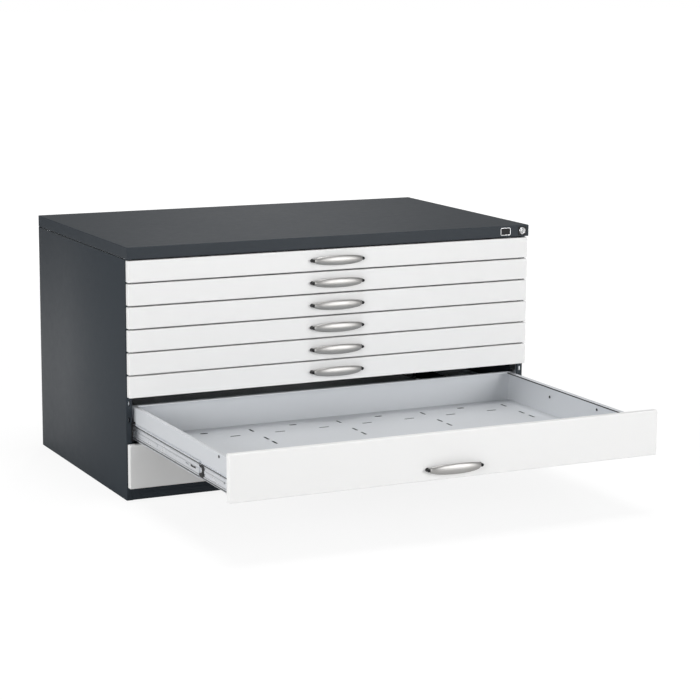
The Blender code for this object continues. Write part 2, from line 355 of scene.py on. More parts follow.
def makePowderGroup():
    # stoved powder coat: fine orange peel, slow tone drift and uneven gloss
    group, given, made = newGroup(
        "powderCoat",
        {"Colour": (0.8, 0.8, 0.8, 1), "Drift": 0.04, "Roughness": 0.4, "Gloss Drift": 0.08,
         "Grain Scale": 700.0, "Fleck": 0.02},
        ("Colour", "Roughness", "Height"))
    place = addNode(group, "TexCoord").outputs["Object"]
    slow = noiseNode(group, place, *noises["slow"])
    middle = noiseNode(group, place, *noises["middle"])
    peel = noiseNode(group, place, given["Grain Scale"], *peelNoise)
    fleck = noiseNode(group, place, *noises["fleck"])
    drift = swing(group, slow, given["Drift"])
    small = swing(group, fleck, given["Fleck"])
    tone = added(group, added(group, drift, small), 1.0)
    colour = addNode(group, "HueSaturation", {"Color": given["Colour"], "Value": tone})
    gloss = swing(group, times(group, added(group, slow, middle), 0.5), given["Gloss Drift"])
    gloss = added(group, gloss, given["Roughness"], clamp=True)
    height = added(group, peel, times(group, middle, middleShare))
    group.links.new(colour.outputs[0], made["Colour"])
    group.links.new(gloss, made["Roughness"])
    group.links.new(height, made["Height"])
    return group


def makeDustGroup():
    # a faint film of dust that lies on what faces up, in patches
    group, given, made = newGroup(
        "settledDust",
        {"Colour": (0.8, 0.8, 0.8, 1), "Roughness": 0.4, "Amount": 0.1, "Dust Colour": (0.46, 0.45, 0.43, 1)},
        ("Colour", "Roughness"))
    place = addNode(group, "TexCoord").outputs["Object"]
    normal = addNode(group, "NewGeometry").outputs["Normal"]
    upward = addNode(group, "SeparateXYZ", {0: normal}).outputs["Z"]
    upward = mathNode(group, "POWER", mathNode(group, "MAXIMUM", upward, 0.0), dustShape["facing"])
    patch = times(group, noiseNode(group, place, *noises["dustPatch"]), dustShape["patch"])
    speck = times(group, noiseNode(group, place, *noises["dustSpeck"]), dustShape["speck"])
    cover = times(group, upward, added(group, patch, speck))
    cover = times(group, cover, given["Amount"], clamp=True)
    colour = mixColour(group, cover, given["Colour"], given["Dust Colour"])
    rough = added(group, given["Roughness"], times(group, cover, dustShape["rough"]), clamp=True)
    group.links.new(colour, made["Colour"])
    group.links.new(rough, made["Roughness"])
    return group


def makeDrawnMetalGroup():
    # metal with fine lines along one way and slow patches of tint
    group, given, made = newGroup(
        "drawnMetal",
        {"Colour": (0.7, 0.7, 0.7, 1), "Tint": (0.6, 0.6, 0.65, 1), "Line Scale": (400.0, 8.0, 400.0),
         "Line Tone": 0.1, "Roughness": 0.3, "Gloss Drift": 0.15},
        ("Colour", "Roughness", "Height"))
    place = addNode(group, "TexCoord").outputs["Object"]
    drawn = addNode(group, "VectorMath", {0: place, 1: given["Line Scale"]}, operation="MULTIPLY")
    lines = noiseNode(group, drawn.outputs[0], *noises["line"])
    patches = noiseNode(group, place, *noises["tintPatch"])
    colour = mixColour(group, patches, given["Colour"], given["Tint"])
    tone = added(group, swing(group, lines, given["Line Tone"]), 1.0)
    shade = addNode(group, "HueSaturation", {"Color": colour, "Value": tone})
    rough = swing(group, times(group, added(group, lines, patches), 0.5), given["Gloss Drift"])
    rough = added(group, rough, given["Roughness"], clamp=True)
    group.links.new(shade.outputs[0], made["Colour"])
    group.links.new(rough, made["Roughness"])
    group.links.new(lines, made["Height"])
    return group


powderCoat = makePowderGroup()
settledDust = makeDustGroup()
drawnMetal = makeDrawnMetalGroup()


def newMaterial(name):
    material = bpy.data.materials.new(name)
    material.use_nodes = True
    return material, material.node_tree, material.node_tree.nodes["Principled BSDF"]


def addBump(tree, shader, height, strength, deep):
    bump = addNode(tree, "Bump", {"Height": height, "Strength": strength, "Distance": deep})
    tree.links.new(bump.outputs[0], shader.inputs["Normal"])


def coatMaterial(name, values):
    material, tree, shader = newMaterial(name)
    coat = addNode(tree, "Group", node_tree=powderCoat)
    for label in ("Drift", "Roughness", "Gloss Drift", "Grain Scale", "Fleck"):
        coat.inputs[label].default_value = values[label]
    coat.inputs["Colour"].default_value = (*values["Colour"], 1)
    dust = addNode(tree, "Group", node_tree=settledDust)
    tree.links.new(coat.outputs["Colour"], dust.inputs["Colour"])
    tree.links.new(coat.outputs["Roughness"], dust.inputs["Roughness"])
    dust.inputs["Amount"].default_value = values["Dust"]
    tree.links.new(dust.outputs["Colour"], shader.inputs["Base Color"])
    tree.links.new(dust.outputs["Roughness"], shader.inputs["Roughness"])
    shader.inputs["Specular IOR Level"].default_value = values["Specular"]
    addBump(tree, shader, coat.outputs["Height"], values["Bump"], bumpDeep["coat"])
    return material


def metalMaterial(name, values):
    material, tree, shader = newMaterial(name)
    metal = addNode(tree, "Group", node_tree=drawnMetal)
    for label in ("Line Scale", "Line Tone", "Roughness", "Gloss Drift"):
        metal.inputs[label].default_value = values[label]
    metal.inputs["Colour"].default_value = (*values["Colour"], 1)
    metal.inputs["Tint"].default_value = (*values["Tint"], 1)
    tree.links.new(metal.outputs["Colour"], shader.inputs["Base Color"])
    tree.links.new(metal.outputs["Roughness"], shader.inputs["Roughness"])
    shader.inputs["Metallic"].default_value = 1.0
    addBump(tree, shader, metal.outputs["Height"], values["Bump"], bumpDeep["metal"])
    return material


slateCoat = {"Colour": (0.022, 0.029, 0.037), "Drift": 0.10, "Roughness": 0.44, "Gloss Drift": 0.14,
             "Grain Scale": 760.0, "Fleck": 0.10, "Specular": 0.25, "Bump": 0.22, "Dust": 0.02}
whiteCoat = {"Colour": (0.86, 0.86, 0.855), "Drift": 0.03, "Roughness": 0.36, "Gloss Drift": 0.12,
             "Grain Scale": 820.0, "Fleck": 0.015, "Specular": 0.5, "Bump": 0.16, "Dust": 0.03}
greyCoat = {"Colour": (0.60, 0.62, 0.645), "Drift": 0.05, "Roughness": 0.42, "Gloss Drift": 0.14,
            "Grain Scale": 760.0, "Fleck": 0.03, "Specular": 0.5, "Bump": 0.2, "Dust": 0.06}
darkPlasticAndShadeCoat = {"Colour": (0.012, 0.012, 0.013), "Drift": 0.2, "Roughness": 0.38, "Gloss Drift": 0.2,
                "Grain Scale": 1500.0, "Fleck": 0.15, "Specular": 0.2, "Bump": 0.35, "Dust": 0.01}
zincPlate = {"Colour": (0.93, 0.94, 0.96), "Tint": (0.84, 0.87, 0.92), "Line Scale": (420.0, 14.0, 420.0),
             "Line Tone": 0.24, "Roughness": 0.30, "Gloss Drift": 0.3, "Bump": 0.35}
satinNickel = {"Colour": (0.44, 0.43, 0.42), "Tint": (0.40, 0.395, 0.385),
               "Line Scale": (20.0, 1600.0, 1600.0), "Line Tone": 0.10, "Roughness": 0.44, "Gloss Drift": 0.16, "Bump": 0.15}
brightChrome = {"Colour": (0.78, 0.78, 0.78), "Tint": (0.74, 0.75, 0.77), "Line Scale": (60.0, 60.0, 60.0),
                "Line Tone": 0.04, "Roughness": 0.14, "Gloss Drift": 0.10, "Bump": 0.05}
darkSteelAndShadeFinish = {"Colour": (0.10, 0.10, 0.11), "Tint": (0.06, 0.06, 0.065),
                  "Line Scale": (300.0, 300.0, 300.0), "Line Tone": 0.2, "Roughness": 0.42, "Gloss Drift": 0.2, "Bump": 0.2}
satinPlate = {"Colour": (0.74, 0.74, 0.75), "Tint": (0.66, 0.67, 0.68), "Line Scale": (30.0, 900.0, 2200.0),
              "Line Tone": 0.12, "Roughness": 0.34, "Gloss Drift": 0.2, "Bump": 0.2}

slatePaint = coatMaterial("slatePowderCoat", slateCoat)
whitePaint = coatMaterial("whitePowderCoat", whiteCoat)
greyPaint = coatMaterial("lightGreyPowderCoat", greyCoat)
# this black coat also dresses the lip strips and handle feet, whose black is painted shade
darkMouldAndShade = coatMaterial("darkPlasticAndPaintedShade", darkPlasticAndShadeCoat)
zinc = metalMaterial("zincPlatedSteel", zincPlate)
nickel = metalMaterial("satinNickelPlate", satinNickel)
chrome = metalMaterial("brightChromePlate", brightChrome)
# this dark steel also dresses the cage strips in the slide grooves, whose dark is painted shade
darkSteelAndShade = metalMaterial("darkSteelAndShadeFinish", darkSteelAndShadeFinish)
aluminium = metalMaterial("satinAluminium", satinPlate)
print("finishes made")


# cabinet body

bodyShape = {
    "sheet": 0.0010, "fold": 0.0020, "coverLip": 0.010,
    "coverGap": 0.0014,  # shadow line under the cover's skirt
    "lockHole": 0.0172, "flange": 0.020, "flangeHem": 0.008, "flangeSlot": (0.014, 0.005),
    "flangeSlotShares": (0.51, 0.88), "beadLow": 0.011, "beadHigh": 0.023, "beadEnd": 0.040,
    "beadSlope": 0.002, "beadDepth": 0.0022, "beadRound": 0.0014, "baseLip": 0.018,
    "floorField": 0.055, "floorSlope": 0.006, "floorRise": 0.0025, "backField": 0.060,
    "backSlope": 0.008, "backRise": 0.003, "backRound": 0.0015,
}


def makeCover():
    low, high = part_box("top_cover")
    cover = foldedPan("topCover", low, high, (0, 0, -1), bodyShape["coverLip"], 0, bodyShape["fold"],
                      bodyShape["sheet"])
    lockLow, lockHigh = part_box("lock_housing")
    middle = (lockLow + lockHigh) / 2
    hole = addRod("lockHole", (middle.x, low.y, middle.z), bodyShape["lockHole"], cutterDeep, "Y")
    cutAway(cover, [hole])
    evenShade(cover)
    return finish(cover, slatePaint, "body", "cabinet", "top_cover")


def makeSidePanels():
    low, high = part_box("side_panel_right")
    top = high.z - bodyShape["coverGap"]
    hem = bodyShape["flangeHem"]
    corners = ((low.x, low.y + hem, 0), (low.x, low.y, 0), (high.x, low.y, 0), (high.x, high.y, 0),
               (low.x, high.y, 0), (low.x, high.y - hem, 0))
    panel = drawnStrip("sidePanelRight", corners, (0, 0, top), bodyShape["fold"], bodyShape["sheet"],
                       (1, 0, 0))
    cutters = []
    for number in drawerNumbers:
        frontLow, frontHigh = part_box(f"drawer_front_{number}")
        tall = frontHigh.z - frontLow.z
        for share in bodyShape["flangeSlotShares"]:
            spot = ((low.x + high.x) / 2, low.y, frontLow.z + tall * share)
            cutters.append(slotCutter("flangeSlot", spot, *bodyShape["flangeSlot"], "Y", (0, 0, 1)))
    cutAway(panel, cutters)
    evenShade(panel)
    left = mirrored(copied(panel, "sidePanelLeft"))
    finish(panel, slatePaint, "body", "cabinet", "side_panel_right")
    finish(left, slatePaint, "body", "cabinet", "side_panel_left")


def makePlinth():
    low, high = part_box("base_pan")
    pan = addBox("plinthPan", low, high)
    choose(pan, "FACE", facing(0, 0, 1))
    inset(bodyShape["baseLip"])
    openChosen()
    choose(pan, "FACE", facing(0, 0, -1))
    inset(bodyShape["floorField"])
    inset(bodyShape["floorSlope"])
    shiftChosen(0, 0, bodyShape["floorRise"])
    bead = bodyShape["beadLow"], bodyShape["beadHigh"]
    ends = low.x + bodyShape["beadEnd"], high.x - bodyShape["beadEnd"]
    inFront = facing(0, -1, 0)
    for place in bead:
        splitFaces(pan, inFront, (0, 0, place), (0, 0, 1))
    for place in ends:
        splitFaces(pan, inFront, (place, 0, 0), (1, 0, 0))

    def onBead(face):
        middle = face.calc_center_median()
        return inFront(face) and bead[0] < middle.z < bead[1] and ends[0] < middle.x < ends[1]

    choose(pan, "FACE", onBead)
    inset(bodyShape["beadSlope"])
    shiftChosen(0, bodyShape["beadDepth"], 0)
    softEdges(pan, bodyShape["beadRound"], steps=3, degrees=15)
    thicken(pan, bodyShape["sheet"])
    evenShade(pan)
    return finish(pan, slatePaint, "body", "cabinet", "base_pan")


def makeBackPanel():
    low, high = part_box("back_panel")
    bpy.ops.mesh.primitive_plane_add(size=1, rotation=(-math.pi / 2, 0, 0))
    panel = rename(bpy.context.active_object, "backPanel")
    panel.location = (0, high.y, (low.z + high.z) / 2)
    panel.scale = (high.x - low.x, high.z - low.z, 1)
    settle(panel)
    sixth = (high.x - low.x) / 6
    splitFaces(panel, lambda face: True, (-sixth, 0, 0), (1, 0, 0))
    splitFaces(panel, lambda face: face.calc_center_median().x > -sixth, (sixth, 0, 0), (1, 0, 0))
    choose(panel, "FACE", lambda face: True)
    inset(bodyShape["backField"], each=True)
    inset(bodyShape["backSlope"], each=True)
    shiftChosen(0, -bodyShape["backRise"], 0)
    softEdges(panel, bodyShape["backRound"], steps=2, degrees=10)
    thicken(panel, bodyShape["sheet"])
    evenShade(panel)
    return finish(panel, slatePaint, "body", "cabinet", "back_panel")


screwShape = {
    "across": 0.0085, "rise": 0.0016, "round": 0.0006, "cross": (0.0050, 0.0011),
    "crossDepth": 0.0010,
    "inset": 0.014,  # from the back panel's upper and lower edge
    "uprightShares": (0.08, 0.36, 0.64, 0.92), "levelShares": (-0.75, -0.25, 0.25, 0.75),
}


def makeScrew(place, axis, outward):
    # a pan head with a cross recess
    way = Vector(outward)
    rise = screwShape["rise"]
    top = Vector(place) + way * rise
    head = addRod("screwHead", top - way * rise / 2, screwShape["across"], rise, axis, corners=20)
    softEdges(head, screwShape["round"], degrees=50)
    long, across = screwShape["cross"]
    upright = Vector((0, 0, 1))
    for bar in (upright, way.cross(upright)):
        reach = bar * long / 2 + way.cross(bar) * across / 2 + way * screwShape["crossDepth"]
        reach = Vector([abs(part) for part in reach])
        cutAway(head, [addBox("cross", top - reach, top + reach)])
    return evenShade(head)


def makeBackScrews():
    low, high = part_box("back_panel")
    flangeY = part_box("side_panel_right")[1].y
    first = makeScrew((0, 0, 0), "Y", (0, 1, 0))
    flangeX = high.x - bodyShape["flange"] / 2
    levels = [low.z + (high.z - low.z) * share for share in screwShape["uprightShares"]]
    edges = (low.z + screwShape["inset"], high.z - screwShape["inset"])
    spots = [(side * flangeX, flangeY, z) for side in (-1, 1) for z in levels]
    spots += [(high.x * share, high.y, z) for share in screwShape["levelShares"] for z in edges]
    screws = [copied(first, "backScrew", spot) for spot in spots]
    bpy.data.objects.remove(first)
    return finish(joined(screws, "backScrews"), zinc, "slide", "cabinet")


makeCover()
makeSidePanels()
makePlinth()
makeBackPanel()
makeBackScrews()
print("body made")


# drawer fronts, trays and handles

frontShape = {"sheet": 0.0010, "fold": 0.0024, "lip": 0.014, "topGap": 0.0010, "lowGap": 0.0003}
trayShape = {
    "sheet": 0.0008, "fold": 0.0018, "lip": 0.014, "hem": 0.005,
    "gridPitch": 0.146,  # across the floor
    "rowPitch": 0.1725,  # front to back
    "fullRows": (1, 3),  # the rows that also have crosswise slots and eyes
    "crossRow": 0.1425,  # first row of crosswise slots, from the tray's front
    "crossSlot": (0.034, 0.0090), "pairRow": 0.221, "pairHalf": 0.030, "deepSlot": (0.036, 0.0080),
    "eyeRow": 0.2105, "eye": (0.026, 0.014), "rearClear": 0.030,
    "wallScrews": ((-1, 0.110, 0.0865), (1, 0.260, 0.070), (1, 0.530, 0.057)),  # side, place and height
}


def makeFront(number):
    low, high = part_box(f"drawer_front_{number}")
    low.z += frontShape["lowGap"]
    high.z -= frontShape["topGap"]
    front = foldedPan(f"drawerFront{number}", low, high, (0, 1, 0), frontShape["lip"], 0, frontShape["fold"],
                      frontShape["sheet"])
    return evenShade(front)


def traySize(number):
    # the tray's own box: its solid also carries the inner slide members, which stand out sideways
    low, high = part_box(f"drawer_tray_{number}")
    inset = slideShape["drawerThick"]
    return Vector((low.x + inset, low.y, low.z)), Vector((high.x - inset, high.y, high.z))


def floorCutters(low, high):
    # steps across the floor are counted in half pitches from its middle
    half = trayShape["gridPitch"] / 2
    cross = slotCutter("crossSlot", (0, 0, 0), *trayShape["crossSlot"], "Z", (1, 0, 0))
    deep = slotCutter("deepSlot", (0, 0, 0), *trayShape["deepSlot"], "Z", (0, 1, 0))
    eye = slotCutter("eye", (0, 0, 0), *trayShape["eye"], "Z", (1, 0, 0))
    cutters = []
    for row in range(4):
        front = low.y + row * trayShape["rowPitch"]
        for end in (-1, 1):
            y = front + trayShape["pairRow"] + end * trayShape["pairHalf"]
            if y < high.y - trayShape["rearClear"]:
                cutters += [copied(deep, "slot", (half * step, y, low.z)) for step in (-8, -4, 0, 4, 8)]
        if row in trayShape["fullRows"]:
            y = front + trayShape["crossRow"]
            cutters += [copied(cross, "slot", (half * step, y, low.z)) for step in range(-7, 8, 2)]
            y = front + trayShape["eyeRow"]
            cutters += [copied(eye, "slot", (half * step, y, low.z)) for step in (-6, -2, 2, 6)]
    for tool in (cross, deep, eye):
        bpy.data.objects.remove(tool)
    return cutters


def makeTray(number):
    low, high = traySize(number)
    tray = foldedPan(f"drawerTray{number}", low, high, (0, 0, 1), trayShape["lip"], trayShape["hem"],
                     trayShape["fold"], trayShape["sheet"])
    cutAway(tray, floorCutters(low, high))
    return evenShade(tray)


slotShadeSheetShape = {
    "sides": 0.030, "front": 0.100, "rear": 0.028, "deep": 0.0043, "gap": 0.0001, "fields": 4,
    "rim": 0.034, "slope": 0.004, "rise": 0.0018, "round": 0.0009, "sheet": 0.0007,
}


def makeSlotShadeSheet(number):
    # a shallow ribbed sheet under the tray's floor, painted slate: a dark sheet of painted shade that shows
    # through the floor's slots
    trayLow, trayHigh = traySize(number)
    sides, fields = slotShadeSheetShape["sides"], slotShadeSheetShape["fields"]
    low = trayLow + Vector((sides, slotShadeSheetShape["front"], -slotShadeSheetShape["deep"]))
    high = trayHigh - Vector((sides, slotShadeSheetShape["rear"], 0))
    high.z = trayLow.z - slotShadeSheetShape["gap"]
    sheet = addBox(f"floorStiffener{number}", low, high)
    for field in range(1, fields):
        place = low.x + (high.x - low.x) * field / fields
        splitFaces(sheet, facing(0, 0, -1), (place, 0, 0), (1, 0, 0))
    choose(sheet, "FACE", facing(0, 0, -1))
    inset(slotShadeSheetShape["rim"], each=True)
    inset(slotShadeSheetShape["slope"], each=True)
    shiftChosen(0, 0, slotShadeSheetShape["rise"])
    choose(sheet, "FACE", facing(0, 0, 1))
    openChosen()
    softEdges(sheet, slotShadeSheetShape["round"], steps=2, degrees=15)
    thicken(sheet, slotShadeSheetShape["sheet"])
    return evenShade(sheet)


def makeWallScrews(number):
    # dark screws: outside the left wall, inside the right one
    low, high = traySize(number)
    screws = []
    for side, place, lift in trayShape["wallScrews"]:
        x = -high.x if side < 0 else high.x - trayShape["sheet"]
        screws.append(makeScrew((x, low.y + place, low.z + lift), "X", (-1, 0, 0)))
    return joined(screws, f"wallScrews{number}")


lipShadeShape = {"thick": 0.0012, "drop": 0.0012, "tall": 0.0034, "ends": 0.004, "sunk": 0.0004, "round": 0.0005}


def makeLipShadeStrip(number):
    # a black strip along the inner edge of each side lip: painted shade standing in for the shadow line under
    # the lip
    low, high = traySize(number)
    top = high.z - lipShadeShape["drop"]
    strips = []
    for side in (-1, 1):
        hem = side * (high.x - trayShape["lip"])
        reach = sorted((hem + side * lipShadeShape["sunk"], hem - side * lipShadeShape["thick"]))
        strip = addBox("lipShadeStrip", (reach[0], low.y + lipShadeShape["ends"], top - lipShadeShape["tall"]),
                       (reach[1], high.y - trayShape["lip"] - lipShadeShape["ends"], top))
        softEdges(strip, lipShadeShape["round"])
        evenShade(strip)
        strips.append(strip)
    return joined(strips, f"lipShadeStrip{number}")


handleShape = {
    "reach": 0.0828, "rise": 0.0247, "riseCurve": 0.55, "tall": 0.032, "endTall": 0.0105,
    "swellCurve": 1.05, "stations": 18,
    # the lens section: outwards from its middle in metres, and up in shares of half its height
    "section": ((-0.0026, -1.0), (0.0000, -0.84), (0.0020, -0.50), (0.0032, 0.0), (0.0020, 0.50),
                (0.0000, 0.84), (-0.0030, 1.0), (-0.0030, 0.60), (-0.0034, 0.0), (-0.0030, -0.60)),
    # width, height, rise and rounding of each foot and of the collar at its base
    "feet": ((0.0120, 0.0098, 0.0150, 0.0016, 4), (0.0132, 0.0112, 0.0020, 0.0008, 3)),
}


def bowPlace(share):
    turn = math.pi * min(max(share, 0.0), 1.0)
    out = handleShape["rise"] * math.sin(turn) ** handleShape["riseCurve"]
    return Vector((-handleShape["reach"] * math.cos(turn), -out, 0))


def bowHeading(share):
    # how far the bow has turned from pointing straight out at its left foot
    if share in (0, 1):
        return 0.0 if share == 0 else math.pi
    step = 0.5 / handleShape["stations"]
    way = bowPlace(share + step) - bowPlace(share - step)
    return math.atan2(way.x, -way.y)


def bowHeight(share):
    swell = math.sin(math.pi * share) ** handleShape["swellCurve"]
    return (handleShape["endTall"] + (handleShape["tall"] - handleShape["endTall"]) * swell) / 2


def makeHandle(number):
    # the lens section drawn at the left foot and extruded, turned and stretched from station to station
    low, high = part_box(f"drawer_handle_{number}")
    seat = Vector((0, high.y, (low.z + high.z) / 2))
    stations = handleShape["stations"]
    here = seat + bowPlace(0)
    corners = [here + Vector((-out, 0, up * bowHeight(0))) for out, up in handleShape["section"]]
    handle = drawnLine(f"handle{number}", corners)
    bpy.ops.mesh.edge_face_add()
    for station in range(1, stations + 1):
        before, share = (station - 1) / stations, station / stations
        there, here = here, seat + bowPlace(share)
        turned = bowHeading(share) - bowHeading(before)
        grown = bowHeight(share) / bowHeight(before)
        bpy.ops.mesh.extrude_region_move(TRANSFORM_OT_translate={"value": here - there})
        bpy.ops.transform.rotate(value=-turned, orient_axis="Z", center_override=here)
        bpy.ops.transform.resize(value=(1, 1, grown), center_override=here)
    leaveEdit()
    normalsOut(handle)
    applied(handle, "SUBSURF", levels=2, render_levels=2)
    return evenShade(handle, 60)


def makeHandleFeet(number):
    # two black legs on the front, in which the bow's ends stand; their black is painted shade and dark
    # reflection at the bow's ends
    low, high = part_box(f"drawer_handle_{number}")
    feet = []
    for side in (-1, 1):
        for width, tall, rise, rounding, steps in handleShape["feet"]:
            foot = addRod("handleFoot", (0, 0, 0), 1, rise, "Y", corners=28)
            foot.scale = (width, 1, tall)
            foot.location = (side * handleShape["reach"], high.y - rise / 2, (low.z + high.z) / 2)
            settle(foot)
            softEdges(foot, rounding, steps=steps, degrees=50)
            feet.append(foot)
    feet = joined(feet, f"handleFeet{number}")
    return evenShade(feet, 50)


# telescopic slides

slideShape = {
    "sheet": 0.0012, "drawerThick": 0.0055,
    "race": (0.0210, 0.0196, 0.0170, 0.0156),  # heights of the ball groove, from its outer edge
    "raceDeep": 0.0013, "webEdge": (0.0132, 0.0116),
    "webStep": 0.0014,  # the web stands back between the races
    "rib": (0.0048, 0.0036), "ribRise": 0.0008, "play": 0.0018, "hole": 0.0065,
    "middleHoles": (0.317, 0.587), "middleSlot": (0.087, 0.024, 0.0045),
    "drawerHoles": ((0.042, -0.007), (0.058, 0.003), (0.279, 0.0), (0.476, 0.0)),
    "railStart": 0.0057,  # from the tray's front
    "railLong": 0.700, "railSunk": 0.0004,
    # the dark cage strip's edges in the groove, how far it stands out and is sunk, and its rounding; its dark
    # is painted shade for the grooves' shade lines
    "cage": (0.0174, 0.0194, 0.0004, 0.0003, 0.0002), "cageEnd": 0.004, "guard": (0.0238, 0.0290),
    "guardReach": (0.6468, 0.6543, 0.6592), "guardDeep": 0.0013, "guardGap": 0.0001,
    "guardRound": 0.0004,
}


def raceOutline(reach, back, half, centre):
    # from the lower lip round the web to the upper lip, in the x-z plane
    outer, outerIn, innerIn, inner = slideShape["race"]
    edge, edgeIn = slideShape["webEdge"]
    ridge, ridgeIn = slideShape["rib"]
    groove = back - slideShape["raceDeep"]
    web = back - slideShape["webStep"]
    rib = web + slideShape["ribRise"]
    lower = [(reach, -half), (back, -half), (back, -outer), (groove, -outerIn), (groove, -innerIn),
             (back, -inner), (back, -edge), (web, -edgeIn), (web, -ridge), (rib, -ridgeIn)]
    upper = [(x, -z) for x, z in reversed(lower)]
    return [(x, centre + z) for x, z in lower + upper]


def makeSlideMember(name, outline, start, end, holes=(), slots=()):
    corners = [(x, start, z) for x, z in outline]
    member = drawnStrip(name, corners, (0, end - start, 0), 0, slideShape["sheet"], (0, 0, 1))
    back = max(x for x, z in outline)
    middle = sum(z for x, z in outline) / len(outline)
    cutters = []
    for place, lift in holes:
        spot = (back, start + place, middle + lift)
        cutters.append(addRod("slideHole", spot, slideShape["hole"], cutterDeep, "X", corners=16))
    for place, long, across in slots:
        cutters.append(slotCutter("slideSlot", (back, start + place, middle), long, across, "X", (0, 1, 0)))
    if cutters:
        cutAway(member, cutters)
    return evenShade(member, 25)


def makeCageShadeStrips(name, back, centre, start, end):
    # dark strips shaped as ball cages in the member's two grooves; their dark is painted shade standing in
    # for the grooves' shade lines
    near, far, rise, sunk, rounding = slideShape["cage"]
    groove = back - slideShape["raceDeep"]
    cageShadeStrips = []
    for side in (-1, 1):
        edges = sorted((centre + side * near, centre + side * far))
        cage = addBox(name, (groove - sunk, start, edges[0]), (groove + rise, end, edges[1]))
        softEdges(cage, rounding, steps=2)
        cageShadeStrips.append(cage)
    cageShadeStrips = joined(cageShadeStrips, name)
    return evenShade(cageShadeStrips)


catchShape = {
    "thick": 0.0007,
    "sunk": 0.0009,  # how far its face lies below the member's back
    "tailSunk": 0.0002,
    "length": 0.033,  # the member's sheet ends this far behind it
    "round": 0.0003,
    # two pads joined by a bent neck: from the member's front end back, and up from its middle
    "outline": ((0.000, 0.0165), (0.012, 0.0178), (0.030, 0.0165), (0.034, 0.0128), (0.028, 0.0095),
                (0.016, 0.0085), (0.0135, 0.0030), (0.0165, -0.0040), (0.028, -0.0075),
                (0.036, -0.0110), (0.036, -0.0150), (0.024, -0.0175), (0.010, -0.0178),
                (0.004, -0.0140), (0.0035, -0.0060), (0.0045, 0.0040), (0.000, 0.0090)),
    "tail": ((0.056, 0.0022), (0.062, 0.0034), (0.068, 0.0022), (0.082, 0.0020), (0.088, 0.0034),
             (0.094, 0.0020), (0.094, -0.0020), (0.088, -0.0030), (0.060, -0.0022), (0.056, -0.0010)),
}


def makeCatch(front, centre, back):
    # the black release lever on the middle member's front end
    plates = []
    for outline, sunk in (("outline", catchShape["sunk"]), ("tail", catchShape["tailSunk"])):
        x = back - sunk - catchShape["thick"]
        corners = [(x, front + y, centre + z) for y, z in catchShape[outline]]
        plates.append(drawnPlate("slideCatch", corners, (catchShape["thick"], 0, 0), catchShape["round"]))
    return joined(plates, "slideCatch")


def makeGuard(front, centre):
    # the black guide round the middle member, on the front flange
    near, far = slideShape["guard"]
    inner, web, outer = slideShape["guardReach"]
    corners = ((inner, -far), (outer, -far), (outer, far), (inner, far), (inner, near), (web, near),
               (web, -near), (inner, -near))
    corners = [(x, front, centre + z) for x, z in corners]
    return drawnPlate("slideGuard", corners, (0, -slideShape["guardDeep"], 0), slideShape["guardRound"])


def placeDrawers():
    # every model stands at the first drawer of its kind: its number, name, finish, slot and CAD node
    shallow = [(makeFront(1), 1, "drawerFront", whitePaint, "front", "drawer_front"),
               (makeTray(1), 1, "drawerTray", greyPaint, "tray", "drawer_tray")]
    deep = [(makeFront(7), 7, "drawerFront", whitePaint, "front", "drawer_front"),
            (makeTray(7), 7, "drawerTray", greyPaint, "tray", "drawer_tray")]
    every = [(makeHandle(1), 1, "handle", nickel, "handle", "drawer_handle"),
             (makeHandleFeet(1), 1, "handleFeet", darkMouldAndShade, "handle", ""),
             # the sheet under the floor is slate: painted shade seen through the slots
             (makeSlotShadeSheet(1), 1, "floorStiffener", slatePaint, "tray", "")]
    deepOnly = [(makeWallScrews(7), 7, "wallScrews", darkSteelAndShade, "slide", ""),
                (makeLipShadeStrip(7), 7, "lipShadeStrip", darkMouldAndShade, "tray", "")]
    print("drawer pieces made")
    for number in drawerNumbers:
        models = deep + every + deepOnly if number in deepDrawers else shallow + every
        for model, start, word, paint, slotName, node in models:
            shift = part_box(f"drawer_tray_{number}")[0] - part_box(f"drawer_tray_{start}")[0]
            piece = model if number == start else copied(model, f"{word}{number}", shift)
            nodes = [f"{node}_{number}"] if node else []
            finish(piece, paint, slotName, f"drawer_{number}", *nodes)


placeDrawers()
print("fronts, trays and handles placed")


